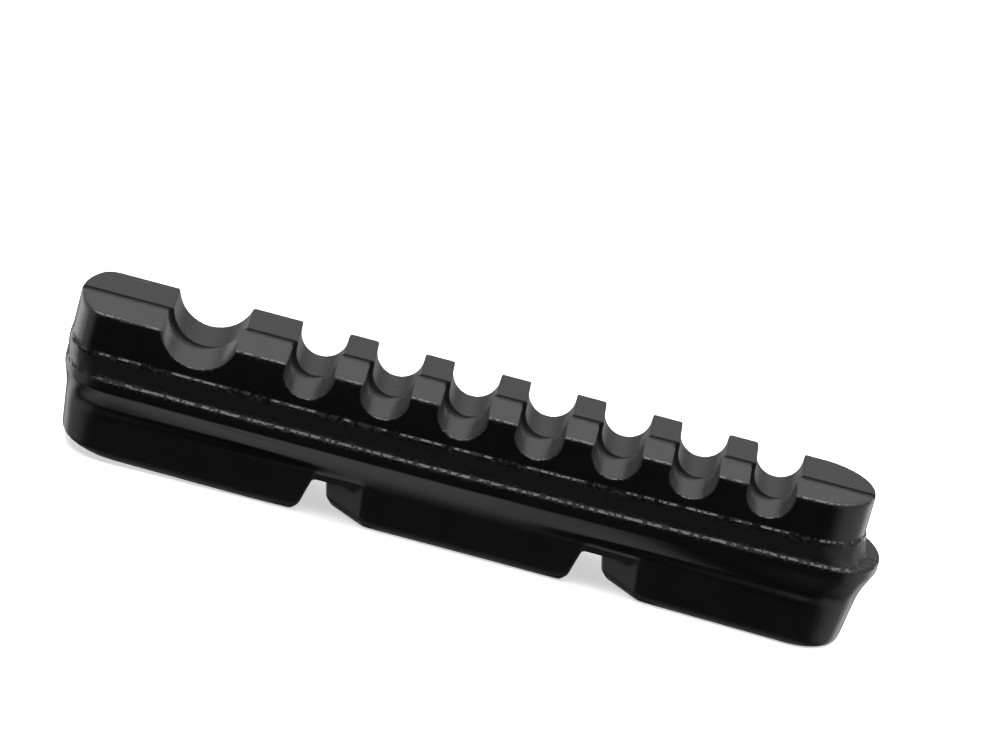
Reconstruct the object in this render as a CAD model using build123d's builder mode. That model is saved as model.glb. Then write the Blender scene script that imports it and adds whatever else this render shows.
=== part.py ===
from build123d import *
from dataclasses import dataclass
from math import radians, tan
import os

# Replaceable insert for the shoe of a road bicycle's rim brake, moulded in one piece of brake rubber.
# It lies on its friction face, with the toothed back that slides into the shoe's channel on top.
# X runs along the pad to its round trailing end, Y across it, Z up from the friction face to the back.
# The mould parts on the plane Y = 0. The friction side is bowed towards +Y, to follow the rim.

# Overall length and the heights of the section, in millimetres up from the friction face
length = 54.0
edge_z = 0.55
shoulder_z = 3.55
lip_low_z = 5.05
lip_top_z = 5.85
neck_z = 7.35
back_z = 10.25
mould_draft = 0.5

# Friction side: a band of even width along the rim, with its walls leaning out to the shoulder
rim_radius = 440.0
rim_middle_x = -1.5
rim_offset = 0.8
face_width = 7.1
face_edge_round = 0.3
lead_in_round = 1.0
lead_in_x = -20.0
lead_in_radius = 28.0
wall_lean = 0.73
shoulder_radius = 480.0
face_left_x = -26.05
face_right_x = 25.7
shoulder_left_x = -26.5
shoulder_right_x = 26.2
block_bulges = (1.7, 2.1)
block_corners = (0.4, 0.44)

# Lip between the friction block and the back: bowed a little on the -Y side and more on the +Y side
lip_front = 4.4
lip_back = 6.65
lip_radius = 270.0
lip_middle_x = -5.0
front_radius = 590.0
front_middle_x = -9.0
lip_edge_round = 0.15
lip_flat = 0.25
lip_corners = (0.25, 0.32)
ledge_corners = (0.27, 0.37)

# Back block: a straight bar that fills the shoe's channel, flush with the lip at its left end
back_width = 8.2
neck_inset = 0.1
neck_step = 0.12
back_left_x = -26.82
back_right_x = 25.6
back_edge_round = 0.25
back_bulges = (1.3, 3.2)
back_corners = (0.16, 0.4)

# Cross grooves in the back: a wide one for the keeper screw, then an even row of small ones
wide_groove_x = -18.65
wide_groove_width = 4.85
wide_groove_depth = 1.97
small_groove_count = 7
small_groove_x = -11.33
small_groove_pitch = 5.06
small_groove_width = 3.0
small_groove_depth = 2.0
small_groove_wall = 0.5

# Water slots in the friction side: one square wall, and one wall that points back at it
slot_xs = [-10.25, 7.75]
slot_gaps = [1.85, 2.25]
slot_depth = 2.35
slot_lean = 13.0
slot_tip_width = 2.3
slot_point_angle = 45.0
slot_floor_width = 6.7
slot_edge_round = 0.35
slot_edge_angle = 40.0

# How far a rounded edge, the cove under the lip and the hollow ledge bend away from a straight slope
edge_turn = 0.7
cove_turn = 0.55
ledge_turn = 0.6
cut_clearance = 1.0


@dataclass
class Outline:
    """A plan outline: two long sides that may be bowed, and two bulging ends with rounded corners.

    Each pair of bulges gives how far the left and right ends swell out, and each pair of corners
    the radius of their corners as a share of the width there.
    """

    left: float
    right: float
    front: float
    back: float
    bulges: tuple
    corners: tuple
    front_curve: float = 0.0
    front_middle: float = 0.0
    back_curve: float = 0.0
    back_middle: float = 0.0


def between(first, second, share):
    """The outline that lies a share of the way from the first outline to the second."""
    values = {}
    for name in Outline.__dataclass_fields__:
        start = getattr(first, name)
        end = getattr(second, name)
        if isinstance(start, tuple):
            values[name] = tuple(a + (b - a) * share for a, b in zip(start, end))
        else:
            values[name] = start + (end - start) * share
    return Outline(**values)


def side(start_x, end_x, y, curve, middle_x):
    """One long side, straight or an arc that bends towards -Y on both sides of its middle."""
    start = (start_x, y - curve * (start_x - middle_x) ** 2 / 2)
    end = (end_x, y - curve * (end_x - middle_x) ** 2 / 2)
    if curve == 0:
        Line(start, end)
    else:
        half_x = (start_x + end_x) / 2
        ThreePointArc(start, (half_x, y - curve * (half_x - middle_x) ** 2 / 2), end)
    return start, end


def plan(outline, z):
    """The outline drawn as a face at height z."""
    start_x = outline.left + outline.bulges[0]
    end_x = outline.right - outline.bulges[1]
    with BuildSketch(Plane.XY.offset(z)) as drawn:
        with BuildLine():
            front = side(start_x, end_x, outline.front, outline.front_curve, outline.front_middle)
            back = side(end_x, start_x, outline.back, outline.back_curve, outline.back_middle)
            ThreePointArc(front[1], (outline.right, (front[1][1] + back[0][1]) / 2), back[0])
            ThreePointArc(back[1], (outline.left, (back[1][1] + front[0][1]) / 2), front[0])
        make_face()
        fillet(drawn.vertices().group_by(Axis.X)[0], outline.corners[0] * (back[1][1] - front[0][1]))
        fillet(drawn.vertices().group_by(Axis.X)[-1], outline.corners[1] * (back[0][1] - front[1][1]))
    return drawn.sketch


# Friction side and lip: one loft through the outlines at each change of the section
rim_curve = 1 / rim_radius
shoulder_curve = 1 / shoulder_radius
front_curve = 1 / front_radius
foot = Outline(
    face_left_x, face_right_x, rim_offset - face_width / 2, rim_offset + face_width / 2,
    block_bulges, block_corners, rim_curve, rim_middle_x, rim_curve, rim_middle_x,
)
face = Outline(
    face_left_x + lead_in_round, face_right_x - face_edge_round,
    foot.front + face_edge_round, foot.back - face_edge_round,
    block_bulges, block_corners, rim_curve, rim_middle_x, rim_curve, rim_middle_x,
)
shoulder = Outline(
    shoulder_left_x, shoulder_right_x, foot.front - wall_lean, foot.back + wall_lean,
    block_bulges, block_corners, shoulder_curve, rim_middle_x, shoulder_curve, rim_middle_x,
)
lip = Outline(
    -length / 2, length / 2, -lip_front, lip_back,
    block_bulges, lip_corners, -front_curve, front_middle_x, 1 / lip_radius, lip_middle_x,
)
wall_foot = between(foot, shoulder, edge_z / shoulder_z)
sections = [
    plan(face, 0),
    plan(between(face, wall_foot, edge_turn), edge_z * (1 - edge_turn)),
    plan(wall_foot, edge_z),
    plan(shoulder, shoulder_z),
    plan(between(shoulder, lip, 1 - cove_turn), shoulder_z + (lip_low_z - shoulder_z) * cove_turn),
    plan(lip, lip_low_z),
    plan(lip, lip_top_z),
]

# Ledge under the back: a steep hollow slope from the lip up to a small step at the back's neck
ledge_half = lip_front - lip_flat
neck_width = round(back_width - 2 * neck_inset, 6)
step_half = neck_width / 2 + neck_step
ledge_low = Outline(
    -length / 2 + lip_flat, length / 2 - lip_flat, -ledge_half, ledge_half,
    block_bulges, ledge_corners, -front_curve, front_middle_x,
)
ledge_high = Outline(
    back_left_x - neck_step, back_right_x + neck_step, -step_half, step_half,
    back_bulges, back_corners, -front_curve, front_middle_x,
)
ledge_sections = [
    plan(ledge_low, lip_top_z),
    plan(between(ledge_low, ledge_high, ledge_turn), lip_top_z + (neck_z - lip_top_z) * (1 - ledge_turn)),
    plan(ledge_high, neck_z),
]

# Back block: it widens a little from its neck to its top, which falls away to both sides
neck = Outline(
    back_left_x, back_right_x, -neck_width / 2, neck_width / 2,
    back_bulges, back_corners, -front_curve, front_middle_x,
)
back = Outline(
    back_left_x, back_right_x, -back_width / 2, back_width / 2,
    back_bulges, back_corners, -front_curve, front_middle_x,
)
back_fall = back_width * tan(radians(mould_draft))
groove_xs = [small_groove_x + small_groove_pitch * i for i in range(small_groove_count)]
grooves = [(wide_groove_x, wide_groove_width, wide_groove_depth, 0)]
grooves += [(x, small_groove_width, small_groove_depth, small_groove_wall) for x in groove_xs]

with BuildPart() as back_block:
    loft([plan(neck, neck_z), plan(back, back_z)], ruled=True)
    with BuildSketch(Plane.YZ):
        with BuildLine():
            Polyline(
                (0, lip_top_z), (back_width, lip_top_z), (back_width, back_z - back_fall), (0, back_z)
            )
            mirror(about=Plane.YZ)
        make_face()
    extrude(amount=length, both=True, mode=Mode.INTERSECT)
    top_edges = back_block.edges().filter_by_position(Axis.Z, back_z - back_fall, back_z)
    fillet(top_edges.filter_by(lambda edge: abs(edge.center().Y) > back_width / 4), back_edge_round)
    for x, width, depth, wall in grooves:
        with BuildSketch(Plane.XZ):
            with BuildLine():
                Polyline(
                    (x - width / 2, back_z - wall),
                    (x - width / 2, back_z + cut_clearance),
                    (x + width / 2, back_z + cut_clearance),
                    (x + width / 2, back_z - wall),
                )
                ThreePointArc(
                    (x + width / 2, back_z - wall), (x, back_z - depth), (x - width / 2, back_z - wall)
                )
            make_face()
        extrude(amount=back_width, both=True, taper=-mould_draft, mode=Mode.SUBTRACT)


def water_slot(x, gap):
    """The rubber that one slot leaves out, square to the rim at x, with a roof that rises to both sides."""
    run = x - rim_middle_x
    place = Plane(
        origin=(x, rim_offset - rim_curve * run**2 / 2, 0), x_dir=(1, -rim_curve * run, 0), z_dir=(0, 0, 1)
    )
    across = Plane(origin=place.origin, x_dir=place.y_dir, z_dir=place.x_dir)
    reach = face_width
    point_x = gap + (reach - slot_tip_width / 2) / tan(radians(slot_point_angle))
    roof_z = slot_depth + reach - slot_floor_width / 2
    with BuildPart() as slot:
        with BuildSketch(place) as floor_plan:
            with BuildLine():
                Polyline(
                    (0, -reach),
                    (point_x, -reach),
                    (gap, -slot_tip_width / 2),
                    (gap, slot_tip_width / 2),
                    (point_x, reach),
                    (0, reach),
                    close=True,
                )
            make_face()
        extrude(amount=shoulder_z, taper=slot_lean)
        with BuildSketch(place):
            add(floor_plan.sketch_local)
            offset(amount=slot_edge_round, kind=Kind.INTERSECTION)
        extrude(amount=slot_edge_round * 2, taper=slot_edge_angle)
        with BuildSketch(across):
            with BuildLine():
                Polyline(
                    (0, 0), (reach, 0), (reach, roof_z), (slot_floor_width / 2, slot_depth), (0, slot_depth)
                )
                mirror(about=Plane.YZ)
            make_face()
        extrude(amount=length, both=True, mode=Mode.INTERSECT)
    return slot.part


slots = [water_slot(x, gap) for x, gap in zip(slot_xs, slot_gaps)]

# Lead-in: the rubber under an arc that lifts the friction face gently towards the left end
lead_in_rise = lead_in_radius - (lead_in_radius**2 - (length / 2 + lead_in_x) ** 2) ** 0.5
with BuildPart() as lead_in:
    with BuildSketch(Plane.XZ):
        with BuildLine():
            TangentArc((lead_in_x, 0), (-length / 2, lead_in_rise), tangent=(-1, 0))
            Polyline((-length / 2, lead_in_rise), (-length / 2, 0), (lead_in_x, 0))
        make_face()
    extrude(amount=length, both=True)

with BuildPart() as brake_pad_insert:
    loft(sections, ruled=True)
    fillet(brake_pad_insert.faces().sort_by(Axis.Z)[-1].edges(), lip_edge_round)
    loft(ledge_sections, ruled=True)
    add(back_block.part)
    add(lead_in.part, mode=Mode.SUBTRACT)
    add(slots, mode=Mode.SUBTRACT)

brake_pad_insert.part.label = "brake_pad_insert"
os.makedirs("parts", exist_ok=True)
export_step(brake_pad_insert.part, "parts/brake_pad_insert.step")
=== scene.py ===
from math import cos, radians, sin

import bmesh
import bpy
import numpy as np
from mathutils import Matrix, Vector


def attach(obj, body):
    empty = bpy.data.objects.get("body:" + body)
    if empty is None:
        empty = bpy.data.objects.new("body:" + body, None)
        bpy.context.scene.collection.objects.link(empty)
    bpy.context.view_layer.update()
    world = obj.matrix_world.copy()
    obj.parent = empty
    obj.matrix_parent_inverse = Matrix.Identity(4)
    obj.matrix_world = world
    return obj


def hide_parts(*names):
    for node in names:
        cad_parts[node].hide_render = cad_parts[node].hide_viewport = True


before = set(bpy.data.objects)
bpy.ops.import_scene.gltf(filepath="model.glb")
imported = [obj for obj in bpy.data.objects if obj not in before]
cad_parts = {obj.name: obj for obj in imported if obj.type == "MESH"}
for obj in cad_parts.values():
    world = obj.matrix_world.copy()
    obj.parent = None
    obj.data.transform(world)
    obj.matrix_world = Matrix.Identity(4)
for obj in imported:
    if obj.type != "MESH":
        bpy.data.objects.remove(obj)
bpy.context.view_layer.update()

# Brake pad insert, the moulded skin
# One moulding of black brake rubber, pressed in a steel mould, so no edge on it is quite sharp.
# Its toothed back slides into a shoe and holds it there, and its other side rubs on the rim.
MM = 0.001
voxel = 0.1 * MM
skin_triangles = 160_000
edge_smoothing = 3
slot_smoothing = 6
cove_smoothing = 120
slot_spans = [(-11.6 * MM, -5.0 * MM), (6.4 * MM, 13.6 * MM)]
slot_top = 3.0 * MM
cove_low, cove_high = 2.9 * MM, 5.0 * MM
fade = 0.5 * MM

cad_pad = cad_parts["brake_pad_insert"]


def ramp(values, start, end):
    """0 up to start, 1 past end, and a smooth rise between them; start may be the larger."""
    share = np.clip((values - start) / (end - start), 0, 1)
    return share * share * (3 - 2 * share)


def points_of(mesh):
    """The vertices of a mesh as an array of places."""
    places = np.empty(len(mesh.vertices) * 3)
    mesh.vertices.foreach_get("co", places)
    return places.reshape(-1, 3)


def normals_of(mesh):
    """The vertex normals of a mesh as an array."""
    normals = np.empty(len(mesh.vertices) * 3, np.float32)
    mesh.vertex_normals.foreach_get("vector", normals)
    return normals.reshape(-1, 3)


def smoothed(places, edges, weights, steps):
    """The places after each has moved several times halfway to the middle of its neighbours."""
    count = len(places)
    first, second = edges[:, 0], edges[:, 1]
    neighbours = np.bincount(first, minlength=count) + np.bincount(second, minlength=count)
    for _ in range(steps):
        sums = np.empty_like(places)
        for axis in range(3):
            sums[:, axis] = np.bincount(first, places[second, axis], count)
            sums[:, axis] += np.bincount(second, places[first, axis], count)
        places = places + (sums / neighbours[:, None] - places) * (weights / 2)[:, None]
    return places


def with_modifier(mesh, kind, **settings):
    """A new mesh: the given one after one modifier."""
    carrier = bpy.data.objects.new("carrier", mesh)
    bpy.context.collection.objects.link(carrier)
    modifier = carrier.modifiers.new("step", kind)
    for name, value in settings.items():
        setattr(modifier, name, value)
    bpy.context.view_layer.update()
    changed = carrier.evaluated_get(bpy.context.evaluated_depsgraph_get())
    made = bpy.data.meshes.new_from_object(changed)
    bpy.data.objects.remove(carrier)
    return made


skin = with_modifier(cad_pad.data.copy(), "REMESH", mode="VOXEL", voxel_size=voxel)
places = points_of(skin)
edges = np.empty(len(skin.edges) * 2, np.int32)
skin.edges.foreach_get("vertices", edges)
edges = edges.reshape(-1, 2)
places = smoothed(places, edges, np.ones(len(places)), edge_smoothing)
near_slot = np.zeros(len(places))
for start_x, end_x in slot_spans:
    inside = ramp(places[:, 0], start_x, start_x + fade) * ramp(places[:, 0], end_x, end_x - fade)
    near_slot = np.maximum(near_slot, inside * ramp(places[:, 2], slot_top + fade, slot_top))
places = smoothed(places, edges, near_slot, slot_smoothing)
in_cove = ramp(places[:, 2], cove_low, cove_low + fade)
in_cove *= ramp(places[:, 2], cove_high, cove_high - fade / 2)
places = smoothed(places, edges, in_cove * (1 - near_slot), cove_smoothing)
skin.vertices.foreach_set("co", places.ravel())
skin.update()

# Brake pad insert, ends and flash
# Rubber does not fill or leave its mould exactly: the ends are rounder than the mould, the ledge sags,
# the hollow under the lip deepens, and the mould's joints leave crumbs and broken beads of flash.
end_fill = 0.14 * MM
end_fill_start, end_fill_full = -24.0 * MM, -26.0 * MM
lip_low, lip_top, neck = 5.05 * MM, 5.85 * MM, 7.35 * MM
ledge_sag_power = 3.0
ledge_flat_start, ledge_flat_full = 24.9 * MM, 25.7 * MM
cove_hollow = 0.22 * MM
cove_bottom, cove_peak = 3.3 * MM, 3.8 * MM
cove_middle, cove_start, cove_full = -1.5 * MM, 5.0 * MM, 15.0 * MM
cove_facing = (0.6, 0.9)
lead_in_lift = 0.2 * MM
lead_in_start, lead_in_full = -12.0 * MM, -24.0 * MM
bead_height, bead_half = 0.1 * MM, 0.1 * MM
bead_pitch, bead_share = 0.55 * MM, 0.62
crumb_height = 0.06 * MM
crumb_pitch, crumb_share = 0.22 * MM, 0.45
crumb_from_y = 2.9 * MM
sharp_low, sharp_high = 0.005 * MM, 0.011 * MM
side_facing = 0.35
flash_seed = 7


def dashes(along, pitch, share):
    """Numbers from 0 to 1 along a line: raised dashes of uneven length that cover a share of it."""
    count = int(np.ptp(along) / pitch) + 2
    values = dice.random(count)
    heights = np.interp((along - along.min()) / pitch, np.arange(count), values)
    dash_start, dash_full = 1 - share, 1.1 - share
    return ramp(heights, dash_start, dash_full)


dice = np.random.default_rng(flash_seed)
place_x, place_y, place_z = places.T
normals = normals_of(skin)
whole_way = np.full(len(places), 2.0)
bend = (smoothed(places, edges, whole_way, 1) - places) * normals
sharp = ramp(-bend.sum(axis=1), sharp_low, sharp_high)

above_lip = ramp(place_z, lip_top - fade / 2, lip_top + fade / 2)
places[:, 0] -= end_fill * above_lip * ramp(place_x, end_fill_start, end_fill_full)
rise = np.clip((place_z - lip_top) / (neck - lip_top), 0, 1)
sag = (neck - lip_top) * (rise - rise ** ledge_sag_power)
places[:, 2] -= sag * ramp(place_x, ledge_flat_start, ledge_flat_full)
places[:, 2] += lead_in_lift * ramp(place_x, lead_in_start, lead_in_full) * ramp(place_z, lip_low, 0)

hollow = ramp(place_z, cove_bottom, cove_peak)
hollow *= np.clip((lip_low - place_z) / (lip_low - cove_peak), 0, 1)
towards_ends = ramp(np.abs(place_x - cove_middle), cove_start, cove_full)
hollow *= ramp(np.abs(normals[:, 1]), *cove_facing) * towards_ends
places -= normals * (cove_hollow * hollow)[:, None]
outside = np.abs(normals[:, 1]) > side_facing
bead = np.exp(-(((place_z - neck) / bead_half) ** 2)) * outside
bead *= dashes(place_x, bead_pitch, bead_share)
crumbs = sharp * outside * (np.abs(place_y) > crumb_from_y) * (place_z > lip_low + fade / 2)
crumbs *= dashes(place_x, crumb_pitch, crumb_share) * ((place_y < 0) | (place_z < neck))
places += normals * np.maximum(bead * bead_height, crumbs * crumb_height)[:, None]
cad_places = points_of(cad_pad.data)
places = np.clip(places, cad_places.min(axis=0), cad_places.max(axis=0))
skin.vertices.foreach_set("co", places.ravel())
skin.update()
skin = with_modifier(skin, "TRIANGULATE")
skin = with_modifier(skin, "DECIMATE", ratio=min(1.0, skin_triangles / len(skin.polygons)))

# Brake pad insert, the parting line
# The two halves of the mould met on the plane through the middle of the back, from end to end.
# They left a fine line there, and the halves of the teeth stand a little out of step.
seam_half = 0.06 * MM
seam_depth = 0.07 * MM
cut_tolerance = seam_half / 50
on_seam = seam_half / 10
mismatch = 0.13 * MM
mismatch_drop = 0.13 * MM
mismatch_left, mismatch_right = -25.0 * MM, 23.0 * MM
mismatch_fade = 3 * MM
back_start, back_full = 7.4 * MM, 8.0 * MM
flat_weight = 70

cut = bmesh.new()
cut.from_mesh(skin)
for y in (-2 * seam_half, -seam_half, 0, seam_half, 2 * seam_half):
    bmesh.ops.bisect_plane(
        cut, geom=cut.verts[:] + cut.edges[:] + cut.faces[:],
        plane_co=(0, y, 0), plane_no=(0, 1, 0), dist=cut_tolerance,
    )
cut.normal_update()
for vertex in cut.verts:
    if abs(vertex.co.y) < on_seam:
        vertex.co -= vertex.normal * seam_depth
bmesh.ops.triangulate(cut, faces=cut.faces[:])
cut.to_mesh(skin)
cut.free()
places = points_of(skin)
on_back = ramp(places[:, 2], back_start, back_full)
half = np.clip(places[:, 1] / seam_half, -1, 1)
away_from_ends = ramp(places[:, 0], mismatch_left, mismatch_left + mismatch_fade)
away_from_ends *= ramp(places[:, 0], mismatch_right, mismatch_right - mismatch_fade)
places[:, 0] += half * mismatch * on_back * away_from_ends
places[:, 2] -= np.clip(-half, 0, 1) * mismatch_drop * on_back
skin.vertices.foreach_set("co", places.ravel())
skin.polygons.foreach_set("use_smooth", np.ones(len(skin.polygons), bool))
skin.update()
skin = with_modifier(skin, "WEIGHTED_NORMAL", mode="FACE_AREA", weight=flat_weight)

# Brake pad insert, the finishes
# The same rubber shows several finishes: satin where the mould was polished, mottled on the teeth, dull
# on the ledge, darker and duller in the water slots, and ground grey with grains on its face. Some
# colour is
# painted light: the teeth's front half is painted lighter for the light it catches, the parting line's
# groove is painted near black as its shade, and the grains of the face are painted pale as their glints.
ledge_low, ledge_high, ledge_left = 5.75 * MM, 7.3 * MM, -26.4 * MM
ledge_low_fade, ledge_high_fade, ledge_left_fade = 0.2 * MM, 0.1 * MM, 1.0 * MM
teeth_left, teeth_right = -21.4 * MM, 23.0 * MM
face_top = 1.2 * MM
slot_reach = 3.1 * MM
flash_reach = 0.28 * MM
flat_facing = 0.9
top_facing = (0.55, 0.8)
groove_facing = (0.75, 0.5)
ground_facing = (0.45, 0.9)
slot_facing = (0.27, 0.45)
rounded_sideways, rounded_upwards = (0.3, 0.45), (0.25, 0.4)

place_x, place_y, place_z = points_of(skin).T
normal_y, normal_z = normals_of(skin).T[1:]
tooth_tops = ramp(normal_z, *top_facing) * on_back
among_teeth = (place_x > teeth_left) & (place_x < teeth_right)
grooves = on_back * ramp(np.abs(normal_y), *groove_facing) * among_teeth
ledge = ramp(place_z, ledge_low, ledge_low + ledge_low_fade)
ledge *= ramp(place_z, ledge_high + ledge_high_fade, ledge_high)
ledge *= ramp(place_x, ledge_left, ledge_left + ledge_left_fade)
ground = ramp(-normal_z, *ground_facing) * (place_z < face_top)
in_slot = np.zeros(len(place_x))
for start_x, end_x in slot_spans:
    inside = (place_x > start_x) & (place_x < end_x) & (place_z < slot_reach)
    in_slot = np.maximum(in_slot, inside * ramp(-normal_z, *slot_facing) * (1 - ground))
at_neck = ramp(np.abs(place_z - neck), flash_reach, flash_reach / 3)
at_lip = ramp(np.abs(place_z - lip_top), flash_reach, flash_reach / 3)
at_lip *= (place_y < 0) | (normal_z < flat_facing)
rounded = ramp(np.abs(normal_y), *rounded_sideways) * ramp(normal_z, *rounded_upwards) * on_back
teeth = np.maximum(tooth_tops, grooves)
front = teeth * ramp(-place_y, seam_half, 2 * seam_half)
finishes = {
    "teeth": teeth, "front": front, "ledge": ledge, "ground": ground, "slot": in_slot,
    "flash": np.maximum(np.maximum(at_neck, at_lip), rounded),
}
for name, values in finishes.items():
    stored = skin.attributes.new(name, "FLOAT", "POINT")
    stored.data.foreach_set("value", values.astype(np.float32))

rubber = bpy.data.materials.new("moulded brake rubber")
rubber.use_nodes = True
tree = rubber.node_tree
shader = tree.nodes["Principled BSDF"]
position = tree.nodes.new("ShaderNodeTexCoord").outputs["Object"]


def wire(source, target):
    """Joins an output to an input, or writes a plain value into the input."""
    if isinstance(source, bpy.types.NodeSocket):
        target.id_data.links.new(source, target)
    else:
        target.default_value = source


def math_node(nodes, operation, *values):
    """The output of a new Math node with the given inputs."""
    made = nodes.new("ShaderNodeMath")
    made.operation = operation
    for value, socket in zip(values, made.inputs):
        wire(value, socket)
    return made.outputs[0]


def blend(share, low, high):
    """A number between low and high, by a share from 0 to 1."""
    made = tree.nodes.new("ShaderNodeMix")
    wire(share, made.inputs["Factor"])
    wire(low, made.inputs["A"])
    wire(high, made.inputs["B"])
    return made.outputs["Result"]


def tint(share, low, high):
    """A colour between low and high, by a share from 0 to 1."""
    made = tree.nodes.new("ShaderNodeMix")
    made.data_type = "RGBA"
    wire(share, made.inputs["Factor"])
    wire(low, made.inputs[6])
    wire(high, made.inputs[7])
    return made.outputs[2]


def finish(name):
    """One of the finishes stored on the skin."""
    made = tree.nodes.new("ShaderNodeAttribute")
    made.attribute_name = name
    return made.outputs["Fac"]


def noise(size, detail):
    """Soft noise whose lumps are about the given size across."""
    made = tree.nodes.new("ShaderNodeTexNoise")
    made.inputs["Scale"].default_value = 1 / size
    made.inputs["Detail"].default_value = detail
    wire(position, made.inputs["Vector"])
    return made.outputs["Fac"]


wall_black = (0.006, 0.006, 0.0063, 1)
teeth_black = (0.005, 0.0051, 0.0053, 1)
teeth_grey = (0.014, 0.0143, 0.0147, 1)
lit_front_black = (0.018, 0.0183, 0.0188, 1)
lit_front_grey = (0.034, 0.0346, 0.0355, 1)
bloom_grey = (0.014, 0.0143, 0.0147, 1)
slot_grey = (0.007, 0.0075, 0.008, 1)
seam_shade_black = (0.001, 0.001, 0.001, 1)
ground_dark = (0.035, 0.032, 0.037, 1)
ground_pale = (0.10, 0.093, 0.105, 1)
grit_glint_pale = (0.42, 0.40, 0.45, 1)
bloom_size, bloom_strength = 2.5 * MM, 0.5
grain_size = 0.16 * MM
pore_size = 0.5 * MM
wave_size = 1.8 * MM
flash_size, flash_gaps = 0.3 * MM, 0.52
grit_size, grit_gaps = 0.13 * MM, 0.8
seam_edge, seam_full = 0.09 * MM, 0.05 * MM
wall_rough = (0.24, 0.32)
teeth_rough = (0.38, 0.52)
front_rough = (0.2, 0.3)
ledge_rough = (0.4, 0.6)
flash_rough = (0.22, 0.8)
ground_rough, grit_rough = 0.75, 0.35
slot_rough = 0.9
seam_rough = 1.0
wall_relief, dull_relief, ground_relief = 0.04, 0.9, 1.0
pore_relief, wave_relief = 1.5, 0.3
bump_strength, bump_height = 0.6, 0.02 * MM

bloom = noise(bloom_size, 4)
grain = noise(grain_size, 2)
pores = noise(pore_size, 3)
wave = noise(wave_size, 1)
broken = math_node(tree.nodes, "GREATER_THAN", noise(flash_size, 1), flash_gaps)

specks = tree.nodes.new("ShaderNodeTexVoronoi")
specks.inputs["Scale"].default_value = 1 / grit_size
wire(position, specks.inputs["Vector"])
grit = math_node(tree.nodes, "GREATER_THAN", specks.outputs["Color"], grit_gaps)

split = tree.nodes.new("ShaderNodeSeparateXYZ")
wire(position, split.inputs[0])
seam_map = tree.nodes.new("ShaderNodeMapRange")
seam_map.inputs["From Min"].default_value = seam_edge
seam_map.inputs["From Max"].default_value = seam_full
wire(math_node(tree.nodes, "ABSOLUTE", split.outputs["Y"]), seam_map.inputs["Value"])
seam = seam_map.outputs["Result"]

back_mottle = tint(grain, teeth_black, teeth_grey)
lit_front_mottle = tint(grain, lit_front_black, lit_front_grey)
# Painted light: the teeth's front half gets lighter colours for the extra light it catches. Its smoother
# finish is real.
moulded = tint(finish("teeth"), wall_black, tint(finish("front"), back_mottle, lit_front_mottle))
moulded = tint(math_node(tree.nodes, "MULTIPLY", bloom, bloom_strength), moulded, bloom_grey)
moulded = tint(finish("slot"), moulded, slot_grey)
# Painted shade: the parting line is painted near black for the shade that falls in its groove.
moulded = tint(seam, moulded, seam_shade_black)
worn = tint(grain, ground_dark, ground_pale)
# Painted highlight: the grains of the ground face are painted pale for their glints.
worn = tint(grit, worn, grit_glint_pale)
wire(tint(finish("ground"), moulded, worn), shader.inputs["Base Color"])

mottle_rough = blend(finish("front"), blend(pores, *teeth_rough), blend(pores, *front_rough))
roughness = blend(bloom, *wall_rough)
roughness = blend(finish("teeth"), roughness, mottle_rough)
roughness = blend(finish("ledge"), roughness, blend(pores, *ledge_rough))
roughness = blend(finish("flash"), roughness, blend(broken, *flash_rough))
roughness = blend(finish("slot"), roughness, slot_rough)
roughness = blend(finish("ground"), roughness, blend(grit, ground_rough, grit_rough))
wire(blend(seam, roughness, seam_rough), shader.inputs["Roughness"])

dull = math_node(tree.nodes, "MAXIMUM", finish("teeth"), finish("ledge"))
height = blend(dull, wall_relief, dull_relief)
height = blend(finish("flash"), height, dull_relief)
height = blend(finish("ground"), height, ground_relief)
relief = math_node(tree.nodes, "ADD", grain, math_node(tree.nodes, "MULTIPLY", pores, pore_relief))
relief = math_node(tree.nodes, "MULTIPLY", relief, height)
relief = math_node(tree.nodes, "ADD", relief, math_node(tree.nodes, "MULTIPLY", wave, wave_relief))
bump = tree.nodes.new("ShaderNodeBump")
bump.inputs["Strength"].default_value = bump_strength
bump.inputs["Distance"].default_value = bump_height
wire(relief, bump.inputs["Height"])
wire(bump.outputs["Normal"], shader.inputs["Normal"])

skin.materials.clear()
skin.materials.append(rubber)
pad = bpy.data.objects.new("rubber_insert", skin)
bpy.context.collection.objects.link(pad)
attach(pad, "root")
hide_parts("brake_pad_insert")

# Floor
# A pale sheet of paper under the pad. The camera sees it, but the pad doesn't mirror it and takes no
# light or shade from it, so the pad's walls show the tent alone, as in a cut-out catalogue picture.
floor_half = 3.0
floor_gap = 0.02 * MM
paper_white = (0.95, 0.95, 0.95, 1)
paper_rough = 0.9
paper_glow = 0.6

floor_mesh = bpy.data.meshes.new("floor")
floor_mesh.from_pydata(
    [(x * floor_half, y * floor_half, -floor_gap) for x, y in ((-1, -1), (1, -1), (1, 1), (-1, 1))],
    [], [(0, 1, 2, 3)],
)
floor = bpy.data.objects.new("floor", floor_mesh)
bpy.context.collection.objects.link(floor)
paper = bpy.data.materials.new("white paper")
paper.use_nodes = True
sheet = paper.node_tree.nodes["Principled BSDF"]
sheet.inputs["Base Color"].default_value = paper_white
sheet.inputs["Roughness"].default_value = paper_rough
sheet.inputs["Emission Color"].default_value = paper_white
sheet.inputs["Emission Strength"].default_value = paper_glow
floor_mesh.materials.append(paper)
floor.visible_glossy = False
floor.visible_diffuse = False
floor.visible_shadow = False

# Light
# A light tent around the pad: a bright top, weaker sides and back, a bright table behind the pad to its
# left and right, a strip below it in front, and a dark front where the camera looks in.
side_light = 0.65
back_light = 0.5
top_light = 4.5
low_light = 0.7
table_light = 2.0
front_light = 0.01

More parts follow.
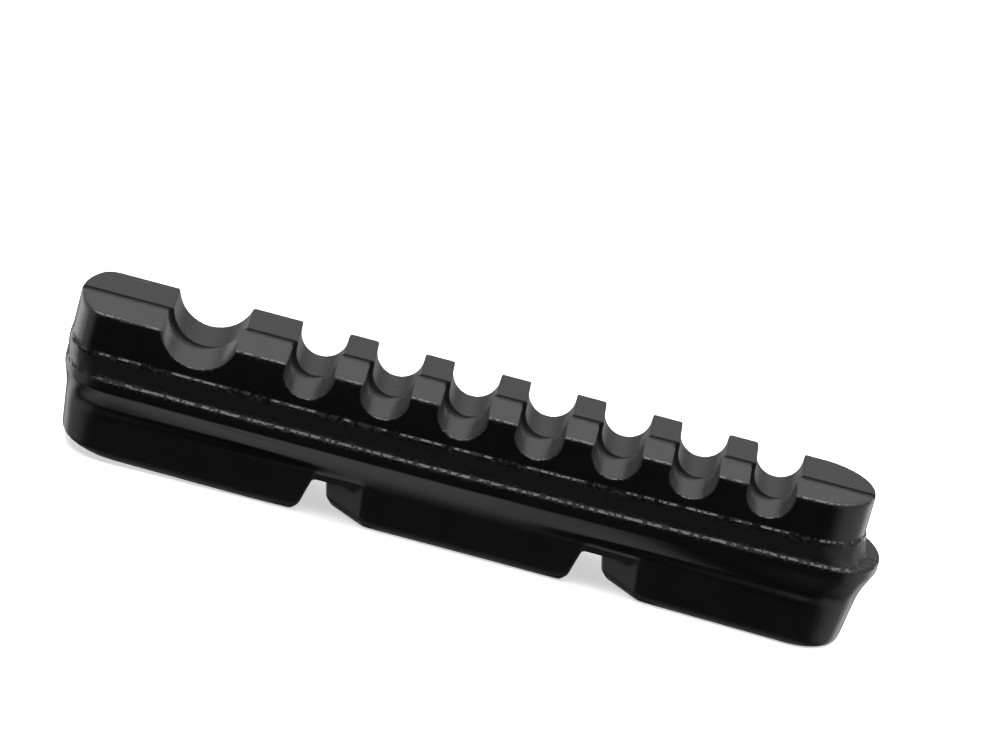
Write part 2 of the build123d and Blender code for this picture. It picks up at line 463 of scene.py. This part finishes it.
world = bpy.data.worlds.new("light tent")
bpy.context.scene.world = world
world.use_nodes = True
sky = world.node_tree
direction = sky.nodes.new("ShaderNodeTexCoord").outputs["Generated"]
axes = sky.nodes.new("ShaderNodeSeparateXYZ")
wire(direction, axes.inputs["Vector"])
sideways = math_node(sky.nodes, "ABSOLUTE", axes.outputs["X"])
backwards, upwards = axes.outputs["Y"], axes.outputs["Z"]


def tent_wall(strength, *spans):
    """Light that fades in over every span: a direction, the share of it at the start, and at the end."""
    light = strength
    for towards, start, end in spans:
        fade_in = sky.nodes.new("ShaderNodeMapRange")
        fade_in.interpolation_type = "SMOOTHSTEP"
        fade_in.inputs["From Min"].default_value = start
        fade_in.inputs["From Max"].default_value = end
        wire(towards, fade_in.inputs["Value"])
        light = math_node(sky.nodes, "MULTIPLY", light, fade_in.outputs["Result"])
    return light


tent_walls = [
    tent_wall(side_light, (sideways, 0.6, 0.9)),
    tent_wall(back_light, (backwards, 0.2, 0.9), (upwards, 0.0, 0.28)),
    tent_wall(top_light, (upwards, 0.65, 0.95)),
    tent_wall(low_light, (upwards, -0.77, -0.93), (backwards, 0.3, 0.05)),
    tent_wall(
        table_light, (upwards, 0.28, -0.15), (upwards, -0.85, -0.7),
        (backwards, 0.3, 0.9), (sideways, 0.3, 0.5),
    ),
]
total = front_light
for light in tent_walls:
    total = math_node(sky.nodes, "MAXIMUM", total, light)
wire(total, sky.nodes["Background"].inputs["Strength"])
sky.nodes["Background"].inputs["Color"].default_value = (1, 1, 1, 1)

# Camera
# A long lens almost half a metre away at the photograph's angle, rolled so that the pad falls to the
# right. Its place comes from the pixel that the middle of the pad has in the photograph.
image_width = 1000
image_height = 737
azimuth = radians(0.86)
elevation = radians(20.5)
roll = radians(15.18)
focal_pixels = 7400
pixels_per_mm = 15.568
pad_middle = Vector((0, 0, 5.0)) * MM
pad_middle_pixel = (470.55, 466.15)
sensor_width = 36.0
nearest = 10 * MM

distance = focal_pixels / pixels_per_mm * MM
away = Vector((-sin(azimuth) * cos(elevation), -cos(azimuth) * cos(elevation), sin(elevation)))
turn = away.to_track_quat("Z", "Y").to_matrix() @ Matrix.Rotation(roll, 3, "Z")
right, up = turn.col[0], turn.col[1]
shift_right = (pad_middle_pixel[0] - image_width / 2) / pixels_per_mm * MM
shift_down = (pad_middle_pixel[1] - image_height / 2) / pixels_per_mm * MM
lens = bpy.data.cameras.new("camera")
lens.sensor_width = sensor_width
lens.lens = focal_pixels / image_width * sensor_width
lens.clip_start = nearest
camera = bpy.data.objects.new("camera", lens)
bpy.context.collection.objects.link(camera)
camera.matrix_world = Matrix.Translation(
    pad_middle + away * distance - right * shift_right + up * shift_down
) @ turn.to_4x4()
bpy.context.scene.camera = camera
bpy.context.scene.view_settings.view_transform = "Standard"
